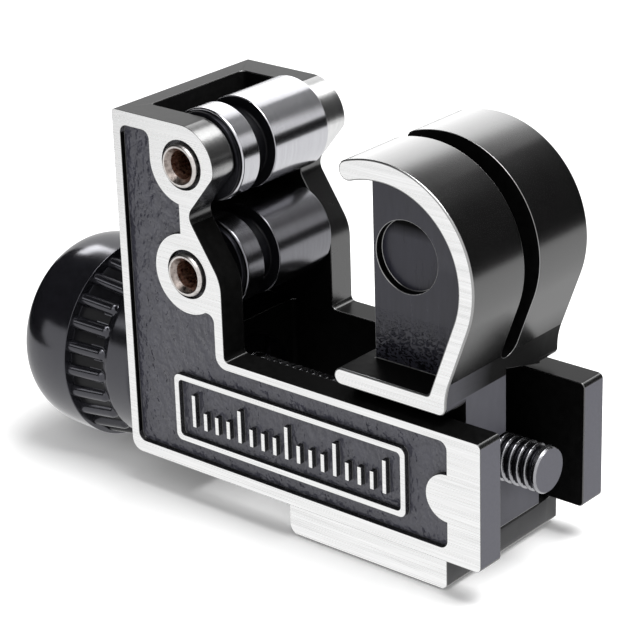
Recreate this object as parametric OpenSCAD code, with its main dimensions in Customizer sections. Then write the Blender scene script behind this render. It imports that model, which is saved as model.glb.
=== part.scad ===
// Mini tube cutter. A U-shaped cast frame carries two rollers at its column. A slide runs along its
// two rails and carries a hooked jaw with a cutting wheel. A screw with a ribbed hand knob draws the
// slide towards the rollers. Lengths are in millimetres and angles in degrees.
// The design frame has x along the rails from the frame's knob face, y across from the mid-plane
// with the front at negative y, and z up from the frame's underside.

/* [Frame] */
// Length of the frame from its knob face to the open end of the rails
frame_l = 63.2; // [61:0.1:76]
// Width over both side plates
frame_w = 28; // [26:0.1:36]
// Height of the roller column
column_h = 52.2; // [50:0.1:58]
// Length of the column along the rails
column_l = 19; // [18:0.1:22]
// Height of the rails
rail_h = 18.7; // [17.5:0.1:21]
// Thickness of each side plate and rail
side_t = 4.45; // [4:0.1:5.5]
// Thickness of the end wall above the screw
end_wall_t = 3.3; // [2.5:0.1:4.5]
// Length of the solid foot that ties the side plates and holds the bush
foot_block_l = 11.4; // [8:0.1:12.5]
// Radius of the frame's lower corner at the knob
heel_r = 1.8; // [0.5:0.1:3]
// Radius of the rails' end corners
rail_end_r = 0.8; // [0.3:0.1:2]

/* [Pocket] */
// Depth of the painted pocket in each side face
pocket_depth = 0.8; // [0.4:0.1:1.5]
// Width of the bright border along the frame's edge
border = 1.45; // [1:0.05:2]
// Width of the bright border at the open end of the rails
end_border = 5.5; // [4:0.1:7]
// Radius of the half-round land that stands into the pocket from the end border
land_r = 3.5; // [2:0.1:5]
// Radius of the bright pad around each rivet
pad_r = 5.95; // [5:0.05:6.5]
// Distance from the knob face to the badge frame
badge_x = 9.1; // [6:0.1:12]
// Distance from the badge frame to the open end of the rails
badge_end_gap = 12.4; // [10:0.1:16]
// Height of the badge frame above the frame's underside
badge_z = 4.2; // [3:0.1:5]
// Height of the badge frame
badge_h = 10.4; // [9:0.1:11.5]
// Width of the badge frame's rib
badge_rib = 0.9; // [0.6:0.05:1.5]
// Number of plain graduation ticks in the badge
tick_count = 17; // [5:1:25]
// Width of each tick
tick_w = 0.7; // [0.4:0.1:1]
// Height of a long tick
tick_h = 5; // [3:0.1:6]

/* [Rollers] */
// Radius of each roller
roller_r = 6.7; // [6:0.1:7.4]
// Distance between the two roller axles
roller_pitch = 16; // [15.2:0.1:18]
// Distance from the knob face to the roller axles
roller_x = 12.8; // [12:0.1:14]
// Length of each roller's front land
front_land = 3.4; // [2.5:0.05:5]
// Width of each roller's groove for flared tube
groove_w = 3.3; // [2:0.1:4.5]
// Depth of each roller's groove
groove_depth = 1.7; // [0.5:0.1:2.5]
// Radius of the sleeve that each roller turns on
sleeve_r = 3.4; // [3.1:0.05:3.8]
// Radius of the spacer ring in front of each roller
spacer_r = 6.3; // [5:0.1:6.6]
// Thickness of each spacer ring
spacer_t = 0.7; // [0.4:0.1:1]
// Radius of each tubular rivet's shank
rivet_r = 2.5; // [2.3:0.05:2.8]
// Radius of the hole through each tubular rivet
rivet_bore_r = 1.8; // [1.2:0.05:2]
// Radius of each rivet's rolled lip
rivet_lip_r = 3.1; // [3:0.05:3.5]
// Radius of the counterbore around each rivet's lip
rivet_seat_r = 3.55; // [3.55:0.05:4]
// Distance that each rivet's lip stands proud of the side face
rivet_rise = 0.7; // [0:0.05:0.9]
// Depth of the counterbore
rivet_seat_depth = 0.9; // [0.5:0.1:1.5]

/* [Slide] */
// Gap between the rollers and the cutting wheel as modelled
jaw_open = 17.6; // [2:0.1:24]
// Width of the slide's jaw and flange
slide_w = 25.4; // [24:0.1:28]
// Gap between the slide's neck and each rail
neck_gap = 1.25; // [0.2:0.1:1.5]
// Length of the jaw's foot and neck along the rails
foot_l = 18.8; // [16:0.1:21]
// Thickness of the jaw's foot
foot_t = 2.45; // [2:0.05:4]
// Gap between the rails and the jaw's foot
foot_gap = 1.5; // [0.3:0.1:2]
// Length of the flange under the frame
flange_l = 27.9; // [20:0.1:30]
// Gap between the frame's underside and the flange
flange_gap = 0.25; // [0.1:0.05:0.6]
// Bulge of the flange's end face
flange_bow = 0.3; // [0:0.1:1]
// Distance that the flange stands past the jaw's end face
flange_reach = 0.25; // [0.1:0.05:0.6]
// Width of the slot for the cutting wheel
slot_w = 3.4; // [2.8:0.1:4]

/* [Jaw] */
// Outer radius of the hooked rim
hook_r = 15; // [14:0.1:16]
// Outer radius of the flatter stretch behind the rim's tip
brow_r = 17.5; // [15:0.1:20]
// Thickness of the rim at the top
rim_t = 2.9; // [2.4:0.1:3.5]
// Thickness of the rim at its straight stretch
rim_low_t = 2.45; // [2:0.05:3]
// Distance from the wheel's axis along the rails to the hook's centre
hook_ahead = 0.15; // [0:0.05:1]
// Distance that the jaw's end face lies inside the hook's widest point
heel_inset = 4.6; // [3.8:0.05:5]
// Lean of the rim's straight stretch from upright
rim_lean = 20.5; // [12:0.5:25]
// Width of the web between the rims
web_w = 14; // [10:0.1:18]
// Distance from the wheel's axis to the web's edge at the throat
web_reach = 5.6; // [5:0.1:8]
// Radius of the round recess over the axle
recess_r = 5.1; // [4.6:0.1:6]
// Depth of the round recess
recess_depth = 1.2; // [0.5:0.1:2]

/* [Cutting wheel] */
// Radius of the cutting wheel
wheel_r = 9; // [7:0.1:9.5]
// Thickness of the wheel's hub
hub_t = 2.8; // [1.8:0.1:2.8]
// Radius of the wheel's hub
hub_r = 4.6; // [4:0.1:5.5]
// Thickness of the wheel's disc
disc_t = 1.5; // [1:0.1:1.8]
// Length of the wheel's sharpened bevel
edge_l = 2.3; // [1:0.1:3]
// Radius of the wheel's axle
axle_r = 2.5; // [2:0.05:2.8]
// Radius of the axle screw's head
axle_head_r = 4.2; // [3.6:0.1:4.5]

/* [Screw] */
// Height of the screw's axis over the frame's underside
screw_z = 9.85; // [9:0.05:10.5]
// Pitch of the right-hand thread
thread_pitch = 1.25; // [1:0.05:1.5]
// Radius over the thread's crests
thread_r = 3.3; // [3:0.05:3.5]
// Depth of the thread
thread_depth = 0.7; // [0.5:0.05:0.8]
// Distance that the screw stands out of the open end
screw_out = 1; // [0:0.1:4]
// Radius of the screw's plain journal
journal_r = 3.6; // [3.55:0.05:3.9]
// Radius of the screw's thrust collar
collar_r = 5.2; // [4.6:0.1:6]
// Thickness of the thrust collar
collar_t = 1.5; // [1:0.1:2]
// Radius of the screw's flatted end inside the knob
tang_r = 3; // [2.6:0.1:3.4]
// Wall of the bush
bush_wall = 1.4; // [1:0.1:2]
// Thickness of the thrust and retaining washers
washer_t = 0.8; // [0.5:0.1:1]
// Outer radius of the thrust and retaining washers
washer_r = 6.2; // [5.8:0.1:6.5]
// Thickness of the retaining ring
ring_t = 0.8; // [0.5:0.1:1]

/* [Knob] */
// Radius of the end cap
knob_r = 15.3; // [15:0.1:17]
// Length of the knob from its face near the frame to the cap's lip
barrel_l = 11.4; // [10:0.1:14]
// Length of the end cap
cap_l = 11.9; // [10:0.1:14]
// Wall of the end cap
cap_wall = 1.6; // [1.2:0.1:2]
// Radius of the smooth band near the frame
band_r = 13.5; // [13:0.1:14]
// Length of the smooth band near the frame
band_l = 4.8; // [3:0.1:5.5]
// Number of grip bars around the knob
bar_count = 24; // [18:1:26]
// Radius of each grip bar
bar_r = 0.95; // [0.7:0.05:1.1]
// Height of the grip bars over the barrel
bar_rise = 0.8; // [0.5:0.05:0.9]
// Gap between the knob and the frame
knob_gap = 0.6; // [0.3:0.1:1]
// Turn of the knob about its axis as modelled
knob_turn = -2; // [-15:1:15]

/* [Hidden] */
$fn = 96;
// Overrun of every cut past the face that it opens
over = 1;
// Radial clearance of a pin that turns in its bore
running = 0.05;
// Radial clearance of a pin that is fixed in its hole
seated = 0.02;
// Gap between flat faces that turn past each other
face_gap = 0.05;
// Gap between each roller's end and the side plate
roller_end_gap = 0.25;
// Degrees of turn for each step of a small corner and of a wide one, and the radius that parts them
small_step = 12;
wide_step = 5;
wide_r = 3;
// Steps in each short arc and in each long arc
corner_steps = 8;
arc_steps = 44;

// Column outline: the notch between the rollers and the lobes around the rivets
lobe_r = 5.8;
lower_lobe_r = 6;
chin_r = 2;
chin_drop = 0.72;
notch_r = 1.9;
notch_ahead = 0.56;
notch_share = 0.547;
shoulder_rise = 0.2;
step_r = 0.8;
brow_corner_r = 0.6;
cavity_corner_r = 0.8;

// Pocket outline
rail_border = 1.2;
pocket_side_border = 1.6;
top_border = 2.1;
pad_side = 0.9;
pocket_r = 1.2;
pocket_step_r = 1.9;
badge_r = 1.1;
tick_margin = 3.6;
short_tick_share = 0.55;
long_tick_every = 4;

// Exponents of the cap's dome, for its radius and its length
dome_r_share = 0.3;
dome_l_share = 0.63;

// Places worked out from the sizes above
base_z = knob_r - screw_z;
cavity_w = frame_w - 2 * side_t;
upper_z = column_h - lobe_r;
lower_z = upper_z - roller_pitch;
wheel_z = (upper_z + lower_z) / 2;
wheel_x = roller_x + roller_r + jaw_open + wheel_r;
neck_w = cavity_w - 2 * neck_gap;
hook_c = [wheel_x + hook_ahead, wheel_z];
brow_c = [hook_c.x, hook_c.y + hook_r - brow_r];
hollow_r = hook_r - (rim_t + rim_low_t) / 2;
hollow_c = hook_c + [rim_t - rim_low_t, rim_low_t - rim_t] / 2;
heel_x = hook_c.x + hook_r - heel_inset;
foot_x = heel_x - foot_l;
foot_z = rail_h + foot_gap;
slot_z = wheel_z - wheel_r - slot_w * 1.44;
bush_r = journal_r + running + bush_wall;
flange_t = base_z - flange_gap;
knob_face_x = -knob_gap;
lip_x = knob_face_x - barrel_l;
cap_end_x = lip_x - cap_l;
screw_end_x = frame_l + screw_out;

// Place of the design frame in the part's own frame: the middle of the length, standing on the knob
middle_x = (screw_end_x + cap_end_x) / 2;

function unit(v) = v / norm(v);

// Points of the arc that rounds corner c, which is [x, y, radius], between its neighbours p and n
function corner_points(p, c, n) =
    let (
        here = [c.x, c.y],
        a = unit([p.x, p.y] - here),
        b = unit([n.x, n.y] - here),
        half = acos(a * b) / 2,
        centre = here + unit(a + b) * c.z / sin(half),
        from = here + a * c.z / tan(half) - centre,
        to = here + b * c.z / tan(half) - centre,
        start = atan2(from.y, from.x),
        turn = atan2(from.x * to.y - from.y * to.x, from * to)
    )
    c.z == 0 ? [here] : arc_points(centre, c.z, start, start + turn,
        ceil(abs(turn) / (c.z < wide_r ? small_step : wide_step)));

function arc_points(centre, r, start, end, steps) = [
    for (i = [0:steps])
        let (a = start + (end - start) * i / steps)
        centre + r * [cos(a), sin(a)]
];

// Closed outline from corners [x, y, radius]
function rounded(corners) = [
    for (i = [0:len(corners) - 1])
        each corner_points(
            corners[(i + len(corners) - 1) % len(corners)],
            corners[i],
            corners[(i + 1) % len(corners)]
        )
];

// Moves the design frame into the part's own frame
module placed() {
    translate([-middle_x, 0, base_z]) children();
}

// Extrudes an outline drawn in x and z from y = low to y = high
module across(low, high) {
    translate([0, high, 0]) rotate([90, 0, 0]) linear_extrude(high - low) children();
}

// Turns a profile of [radius, place] points about an axle at [x, z] that runs along y
module around_y(x, z) {
    translate([x, 0, z]) rotate([-90, 0, 0]) rotate_extrude() children();
}

// Turns a profile of [radius, x] points about the screw's axis
module around_screw() {
    on_screw() rotate_extrude() children();
}

// Puts a shape that is built along z on the screw's axis, with z pointing along x
module on_screw() {
    translate([0, 0, screw_z]) rotate([0, 90, 0]) children();
}

// Outline of the frame seen from the front
module frame_outline() {
    polygon(rounded([
        [0, 0, heel_r],
        [frame_l, 0, rail_end_r],
        [frame_l, rail_h, rail_end_r],
        [column_l, rail_h, step_r],
        [column_l, lower_z + shoulder_rise, lower_lobe_r],
        [roller_x + notch_ahead, lower_z + notch_share * roller_pitch, notch_r],
        [roller_x + lobe_r, upper_z - chin_drop, chin_r],
        [roller_x + lobe_r, column_h, lobe_r],
        [0, column_h, brow_corner_r],
    ]));
}

// Painted pocket of a side face, with the badge frame and its ticks left standing
module pocket_outline() {
    column_edge = column_l - pocket_side_border;
    difference() {
        polygon(rounded([
            [border, border + heel_r / 4, pocket_r],
            [frame_l - end_border, border + heel_r / 4, pocket_r],
            [frame_l - end_border, rail_h - rail_border, pocket_r],
            [column_edge, rail_h - rail_border, pocket_step_r],
            [column_edge, lower_z - pad_r + pad_side, pocket_r],
            [roller_x - pad_side, lower_z - pad_r + pad_side, 0],
            [roller_x - pad_side, upper_z, 0],
            [roller_x - pad_r, upper_z, 0],
            [roller_x - pad_r, column_h - top_border, pocket_r],
            [border, column_h - top_border, pocket_r],
        ]));
        for (z = [upper_z, lower_z]) translate([roller_x, z]) circle(pad_r);
        translate([frame_l - end_border, rail_h / 2]) circle(land_r);
        badge_frame();
        ticks();
    }
}

module badge_box(inset) {
    left = badge_x + inset;
    right = frame_l - badge_end_gap - inset;
    low = badge_z + inset;
    high = badge_z + badge_h - inset;
    r = badge_r - inset / 2;
    polygon(rounded([[left, low, r], [right, low, r], [right, high, r], [left, high, r]]));
}

module badge_frame() {
    difference() {
        badge_box(0);
        badge_box(badge_rib);
    }
}

module ticks() {
    left = badge_x + tick_margin;
    step = (frame_l - badge_end_gap - tick_margin - left) / (tick_count - 1);
    foot = badge_z + (badge_h - tick_h) / 2;
    for (i = [0:tick_count - 1]) {
        h = tick_h * (i % long_tick_every == 0 ? 1 : short_tick_share);
        translate([left + i * step - tick_w / 2, foot]) square([tick_w, h]);
    }
}

// Straight-sided cut with rounded ends at its closed side, between the two side plates
module channel(from_x, low, high) {
    translate([0, 0, low]) linear_extrude(high - low) polygon(rounded([
        [from_x, -cavity_w / 2, cavity_corner_r],
        [frame_l + over, -cavity_w / 2, 0],
        [frame_l + over, cavity_w / 2, 0],
        [from_x, cavity_w / 2, cavity_corner_r],
    ]));
}

module frame_body() {
    color("dimgray") placed() difference() {
        across(-frame_w / 2, frame_w / 2) frame_outline();
        channel(end_wall_t, rail_h, column_h + over);
        channel(foot_block_l, -over, rail_h + over);
        across(-frame_w / 2 - over, pocket_depth - frame_w / 2) pocket_outline();
        across(frame_w / 2 - pocket_depth, frame_w / 2 + over) pocket_outline();
        for (z = [upper_z, lower_z]) rivet_hole(z);
        on_screw() translate([0, 0, -over]) cylinder(r = bush_r + seated, h = foot_block_l + 2 * over);
    }
}

module rivet_hole(z) {
    far = frame_w / 2 + over;
    seat = frame_w / 2 - rivet_seat_depth;
    around_y(roller_x, z) polygon([
        [0, -far], [rivet_seat_r, -far], [rivet_seat_r, -seat], [rivet_r + seated, -seat],
        [rivet_r + seated, seat], [rivet_seat_r, seat], [rivet_seat_r, far], [0, far],
    ]);
}

module screw_bush() {
    color("darkgoldenrod") placed() on_screw() difference() {
        cylinder(r = bush_r, h = foot_block_l);
        translate([0, 0, -over]) cylinder(r = journal_r + running, h = foot_block_l + 2 * over);
    }
}

// Flat washer on the screw's journal, from x = from_x
module washer(from_x, bore, r, t) {
    on_screw() translate([0, 0, from_x]) difference() {
        cylinder(r = r, h = t);
        translate([0, 0, -over]) cylinder(r = bore, h = t + 2 * over);
    }
}

module thrust_washer() {
    color("silver") placed() washer(-washer_t, journal_r + 2 * running, washer_r, washer_t);
}

module retaining_washer() {
    color("silver") placed() washer(foot_block_l, journal_r + 2 * running, washer_r, washer_t);
}

// Open ring in the groove at the end of the screw's journal
module retaining_ring() {
    from_x = foot_block_l + washer_t + face_gap;
    gap_w = 1.3 * journal_r;
    color("slategray") placed() difference() {
        washer(from_x, thread_r - thread_depth + seated, washer_r - face_gap * 4, ring_t);
        translate([from_x - over, -gap_w / 2, screw_z]) cube([ring_t + 2 * over, gap_w, 2 * washer_r]);
    }
}

module roller_sleeve(z) {
    color("lightsteelblue") placed() around_y(roller_x, z) polygon([
        [rivet_r + seated, -cavity_w / 2], [sleeve_r, -cavity_w / 2],
        [sleeve_r, cavity_w / 2], [rivet_r + seated, cavity_w / 2],
    ]);
}

module upper_roller_sleeve() {
    roller_sleeve(upper_z);
}

module lower_roller_sleeve() {
    roller_sleeve(lower_z);
}

// Tubular rivet with both ends rolled over into the counterbores
module roller_rivet(z) {
    seat = frame_w / 2 - rivet_seat_depth;
    rim = frame_w / 2 + rivet_rise;
    lip = rivet_lip_r - rivet_bore_r;
    half = [
        [rivet_r, seat], [rivet_lip_r, seat], [rivet_lip_r, rim - lip * 0.3],
        [rivet_lip_r - lip * 0.12, rim - lip * 0.1], [rivet_lip_r - lip * 0.35, rim],
        [rivet_bore_r + lip * 0.42, rim - lip * 0.08], [rivet_bore_r + lip * 0.1, rim - lip * 0.3],
        [rivet_bore_r, rim - lip * 0.6],
    ];
    other = [for (i = [len(half) - 1:-1:0]) [half[i].x, -half[i].y]];
    color("gainsboro") placed() around_y(roller_x, z) polygon(concat(half, other));
}

module upper_roller_rivet() {
    roller_rivet(upper_z);
}

module lower_roller_rivet() {
    roller_rivet(lower_z);
}

// Roller with a groove behind its front land, which clears the flare of a flared tube
module roller(z) {
    start = -cavity_w / 2 + spacer_t + 2 * face_gap;
    end = cavity_w / 2 - roller_end_gap;
    groove = start + front_land;
    bevel = roller_r * 0.03;
    bore = sleeve_r + running;
    color("silver") placed() around_y(roller_x, z) polygon([
        [bore, start], [roller_r - bevel, start], [roller_r, start + bevel],
        [roller_r, groove], [roller_r - groove_depth, groove],
        [roller_r - groove_depth, groove + groove_w], [roller_r, groove + groove_w],
        [roller_r, end - bevel], [roller_r - bevel, end], [bore, end],
    ]);
}

// Ring on the sleeve that keeps the roller off the front plate
module roller_spacer(z) {
    low = face_gap - cavity_w / 2;
    bore = sleeve_r + running;
    color("slategray") placed() around_y(roller_x, z) polygon([
        [bore, low], [spacer_r, low], [spacer_r, low + spacer_t * 0.6],
        [spacer_r - spacer_t * 0.4, low + spacer_t], [bore, low + spacer_t],
    ]);
}

module upper_roller_spacer() {
    roller_spacer(upper_z);
}

module lower_roller_spacer() {
    roller_spacer(lower_z);
}

module upper_roller() {
    roller(upper_z);
}

module lower_roller() {
    roller(lower_z);
}

// Hooked rim with its tip, straight stretch and foot, seen from the front
module rim_outline() {
    brow_mid_r = brow_r - rim_t / 2;
    tip_reach = hook_r * 0.447;
    tip_angle = 180 - acos((tip_reach - rim_t / 2 - (hook_c.x - brow_c.x)) / brow_mid_r);
    lean = [-sin(rim_lean), -cos(rim_lean)];
    outer_end = hook_c + hook_r * [cos(rim_lean), -sin(rim_lean)];
    inner_end = hollow_c + hollow_r * [cos(rim_lean), -sin(rim_lean)];
    bend = outer_end + lean * (outer_end.x - heel_x) / sin(rim_lean);
    foot_top = inner_end + lean * (inner_end.y - foot_z - foot_t) / cos(rim_lean);
    tip = brow_c + brow_mid_r * [cos(tip_angle), sin(tip_angle)];
    end_r = foot_t * 0.49;
    bend_r = 0.9 * (bend.y - foot_z - end_r) / tan(rim_lean / 2);
    polygon(concat(
        arc_points(tip, rim_t / 2, tip_angle + 180, tip_angle, corner_steps),
        arc_points(brow_c, brow_r, tip_angle, 90, corner_steps),
        arc_points(hook_c, hook_r, 90, -rim_lean, arc_steps),
        corner_points(outer_end, [bend.x, bend.y, bend_r], [heel_x, foot_z]),
        corner_points(bend, [heel_x, foot_z, end_r], [foot_x, foot_z]),
        corner_points([heel_x, foot_z], [foot_x, foot_z, end_r], [foot_x, foot_z + foot_t]),
        corner_points([foot_x, foot_z], [foot_x, foot_z + foot_t, end_r], foot_top),
        corner_points([foot_x, foot_top.y], [foot_top.x, foot_top.y, end_r / 2], inner_end),
        arc_points(hollow_c, hollow_r, -rim_lean, 90, arc_steps),
        arc_points(brow_c, brow_r - rim_t, 90, tip_angle, corner_steps)
    ));
}

// Web that fills the hook from the throat to the middle of the rim
module web_outline() {
    web_x = wheel_x - web_reach;
    mid_r = hook_r - rim_t / 2;
    brow_mid_r = brow_r - rim_t / 2;
    edge_angle = 180 - acos((brow_c.x - web_x) / brow_mid_r);
    foot_mid = foot_z + foot_t / 2;
    polygon(concat(
        [[web_x, foot_mid], [heel_x - rim_t / 2, foot_mid]],
        arc_points(hook_c, mid_r, -rim_lean, 90, arc_steps),
        arc_points(brow_c, brow_mid_r, 90, edge_angle, corner_steps)
    ));
}

// Flange that runs under the frame, with a bowed end and its back lower edge rounded
module flange() {
    x = heel_x + flange_reach;
    top = -flange_gap;
    low = top - flange_t;
    r = flange_t / 4;
    bow_r = slide_w * slide_w / 8 / (flange_bow + slide_w / 1000);
    bow_angle = asin(slide_w / 2 / bow_r);
    intersection() {
        translate([0, 0, low - over]) linear_extrude(flange_t + 2 * over) polygon(concat(
            [[x - flange_l - over, slide_w / 2], [x - flange_l - over, -slide_w / 2]],
            arc_points([x - bow_r, 0], bow_r, -bow_angle, bow_angle, arc_steps)
        ));
        across(-slide_w / 2, slide_w / 2) polygon(rounded([
            [x - flange_l, low, r * 1.4], [x, low, r * 1.5], [x, top, r], [x - flange_l, top, r / 2],
        ]));
        translate([x - flange_l - over, 0, 0]) rotate([90, 0, 90])
            linear_extrude(flange_l + 2 * over) polygon(rounded([
                [-slide_w / 2, low, r / 4], [slide_w / 2, low, r],
                [slide_w / 2, top, r / 4], [-slide_w / 2, top, r / 4],
            ]));
    }
}

// Relief in the back half of the neck, above the screw, open to the back and to the end face
module neck_relief() {
    floor_z = screw_z - thread_r / 2;
    depth = foot_l / 2;
    near = neck_w * 0.036;
    far = neck_w / 2 + over;
    translate([heel_x - depth, 0, 0]) rotate([90, 0, 90]) linear_extrude(depth + over) polygon([
        [near, floor_z], [far, floor_z], [far, foot_z], [near, foot_z + foot_t * 0.92],
    ]);
}

module slide_jaw() {
    web_y = web_w / 2;
    blind_y = web_y - recess_depth - axle_r / 2;
    color("dimgray") placed() difference() {
        union() {
            across(-slide_w / 2, slide_w / 2) rim_outline();
            across(-web_y, web_y) web_outline();
            across(-neck_w / 2, neck_w / 2) neck_outline();
            flange();
        }
        // Slot for the wheel, with a round floor, open at the throat and over the rim
        translate([foot_x - over, 0, slot_z + slot_w / 2]) rotate([0, 90, 0])
            cylinder(r = slot_w / 2, h = foot_l + hook_r);
        translate([foot_x - over, -slot_w / 2, slot_z + slot_w / 2])
            cube([foot_l + hook_r, slot_w, 3 * hook_r]);
        on_screw() translate([0, 0, foot_x - over]) cylinder(r = thread_r + running, h = foot_l + 2 * over);
        around_y(wheel_x, wheel_z) polygon([
            [0, -blind_y], [axle_r + seated, -blind_y], [axle_r + seated, web_y - recess_depth],
            [recess_r, web_y - recess_depth], [recess_r, web_y + over], [0, web_y + over],
        ]);
        around_y(wheel_x, wheel_z) polygon([
            [0, -web_y - over], [recess_r, -web_y - over],
            [recess_r, recess_depth - web_y], [0, recess_depth - web_y],
        ]);
        neck_relief();
    }
}

module neck_outline() {
    x = heel_x - foot_l;
    translate([x, -flange_gap - flange_t / 2])
        square([foot_l, foot_z + foot_t + flange_gap + flange_t / 2 - rim_t / 4]);
    translate([heel_x - foot_l / 2, -flange_gap]) square([foot_l / 2, foot_z + foot_t]);
}

// Shoulder screw from the back web through the wheel into the front web
module wheel_axle_screw() {
    seat = web_w / 2 - recess_depth;
    end = web_w / 2 - recess_depth - axle_r / 2 - seated;
    head_t = recess_depth;
    slot = axle_head_r / 4;
    color("silver") placed() difference() {
        around_y(wheel_x, wheel_z) polygon([
            [0, -end], [axle_r - axle_r / 10, -end], [axle_r, axle_r / 10 - end], [axle_r, seat],
            [axle_head_r, seat], [axle_head_r, seat + head_t * 0.75],
            [axle_head_r - head_t * 0.25, seat + head_t], [0, seat + head_t],
        ]);
        translate([wheel_x - 2 * axle_head_r, seat + head_t / 2, wheel_z - slot / 2])
            cube([4 * axle_head_r, head_t, slot]);
    }
}

module cutting_wheel() {
    bore = axle_r + running;
    half = [
        [bore, hub_t / 2], [hub_r, hub_t / 2], [hub_r + disc_t / 3, disc_t / 2],
        [wheel_r - edge_l, disc_t / 2], [wheel_r, 0],
    ];
    other = [for (i = [len(half) - 2:-1:0]) [half[i].x, -half[i].y]];
    color("lightgray") placed() around_y(wheel_x, wheel_z) polygon(concat(half, other));
}

// Feed screw: flatted tang in the knob, thrust collar, journal, ring groove and thread
module feed_screw() {
    root_r = thread_r - thread_depth;
    collar_x = -washer_t - face_gap;
    tang_x = collar_x - collar_t;
    tang_end = lip_x;
    ring_x = foot_block_l + washer_t + face_gap;
    thread_x = ring_x + ring_t + face_gap;
    turns = floor((screw_end_x - thread_x) / thread_pitch) - 1;
    first = screw_end_x - (turns + 0.5) * thread_pitch;
    crests = [
        for (i = [0:turns - 1])
            let (x = first + i * thread_pitch)
            each [
                [root_r, x], [root_r, x + thread_pitch * 0.2],
                [thread_r, x + thread_pitch * 0.53], [thread_r, x + thread_pitch * 0.67],
            ]
    ];
    hole_r = tang_r * 0.43;
    hole_l = barrel_l / 2;
    color("gray") placed() difference() {
        around_screw() polygon(concat(
            [
                [0, tang_end], [tang_r, tang_end], [tang_r, tang_x], [collar_r, tang_x],
                [collar_r, collar_x], [journal_r, collar_x], [journal_r, ring_x - face_gap],
                [root_r, ring_x - face_gap], [root_r, ring_x + ring_t + face_gap],
                [thread_r, thread_x], [thread_r, first - thread_pitch * 0.33],
            ],
            crests,
            [[root_r, screw_end_x - thread_pitch * 0.5], [root_r, screw_end_x - thread_pitch * 0.4],
             [thread_r - thread_depth / 4, screw_end_x - thread_pitch * 0.1],
             [thread_r - thread_depth / 3, screw_end_x], [0, screw_end_x]]
        ));
        on_screw() translate([0, 0, tang_end - over]) cylinder(r = hole_r, h = hole_l + over);
        // Flat on the tang, on the side away from the frame's top
        translate([tang_end - over, -tang_r, screw_z - 2 * tang_r])
            cube([tang_x - tang_end + over, 2 * tang_r, 1.3 * tang_r]);
    }
}

// Hexagonal metal insert moulded into the knob, with a bore that fits the screw's tang
module knob_insert() {
    from_x = lip_x - face_gap;
    length = -from_x - washer_t - face_gap - collar_t;
    fit = tang_r + seated;
    color("goldenrod") placed() difference() {
        on_screw() translate([0, 0, from_x]) cylinder(r = insert_r(), h = length, $fn = 6);
        difference() {
            on_screw() translate([0, 0, from_x - over]) cylinder(r = fit, h = length + 2 * over);
            translate([from_x - 2 * over, -2 * fit, screw_z - 2 * tang_r - seated])
                cube([length + 4 * over, 4 * fit, 1.3 * tang_r]);
        }
    }
}

function insert_r() = tang_r * 1.65;

// Barrel of the knob with its smooth band, grip bars, hub and the spigot for the cap
module knob_body() {
    barrel_r = band_r + 0.5 * bar_rise;
    valley_r = band_r - 0.4 * bar_rise;
    spigot_r = knob_r - cap_wall - seated;
    spigot_x = lip_x - cap_l * 0.3;
    wall = cap_wall + bar_rise / 4;
    round_r = band_l / 6;
    web_x = knob_face_x - band_l * 0.85;
    hub_r = insert_r() + cap_wall;
    recess_end = -washer_t - face_gap - collar_t;
    bar_from = lip_x + face_gap;
    bar_to = knob_face_x - band_l - 1.3 * bar_r;
    high_r = barrel_r + bar_rise - bar_r + 0.1 * bar_rise;
    low_r = valley_r + bar_rise - bar_r;
    color("darkslategray") placed() on_screw() difference() {
        union() {
            rotate_extrude() polygon([
                [0, knob_face_x], [band_r - 1.4 * round_r, knob_face_x],
                [band_r - 0.4 * round_r, knob_face_x - 0.4 * round_r],
                [band_r, knob_face_x - 1.4 * round_r],
                [band_r, knob_face_x - band_l + round_r], [valley_r, knob_face_x - band_l - round_r],
                [barrel_r, lip_x], [spigot_r, lip_x], [spigot_r, spigot_x],
                [spigot_r - wall, spigot_x], [valley_r - wall, web_x], [hub_r, web_x],
                [hub_r, lip_x], [0, lip_x],
            ]);
            for (i = [0:bar_count - 1]) rotate([0, 0, i * 360 / bar_count + knob_turn])
                grip_bar([high_r, bar_from], [low_r, bar_to]);
        }
        translate([0, 0, recess_end]) cylinder(r = washer_r + knob_gap, h = barrel_l);
        translate([0, 0, lip_x - over]) cylinder(r = insert_r() + seated, h = barrel_l, $fn = 6);
    }
}

// Round bar from one [radius, place] to another, with a round end at the second
module grip_bar(from, to) {
    run = to - from;
    translate([from.x, 0, from.y]) rotate([0, atan2(run.x, run.y), 0]) {
        cylinder(r = bar_r, h = norm(run), $fn = 24);
        translate([0, 0, norm(run)]) sphere(r = bar_r, $fn = 24);
    }
}

module knob_lock_washer() {
    color("silver") placed() washer(lip_x - face_gap - washer_t, tang_r * 0.5, tang_r * 1.2, washer_t);
}

// Pan-head screw that holds the knob on the tang
module knob_screw() {
    shank_r = tang_r * 0.43 - seated;
    head_r = tang_r * 0.95;
    head_t = tang_r * 0.6;
    seat = lip_x - face_gap - washer_t;
    end = lip_x + barrel_l * 0.45;
    color("silver") placed() difference() {
        around_screw() polygon([
            [0, end], [shank_r * 0.7, end], [shank_r, end - shank_r * 0.5], [shank_r, seat],
            [head_r, seat], [head_r, seat - head_t * 0.6], [head_r * 0.7, seat - head_t],
            [0, seat - head_t],
        ]);
        for (turn = [0, 90]) on_screw() rotate([0, 0, turn])
            translate([-head_r * 0.7, -head_r * 0.12, seat - head_t - over])
                cube([head_r * 1.4, head_r * 0.24, head_t / 2 + over]);
    }
}

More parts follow.
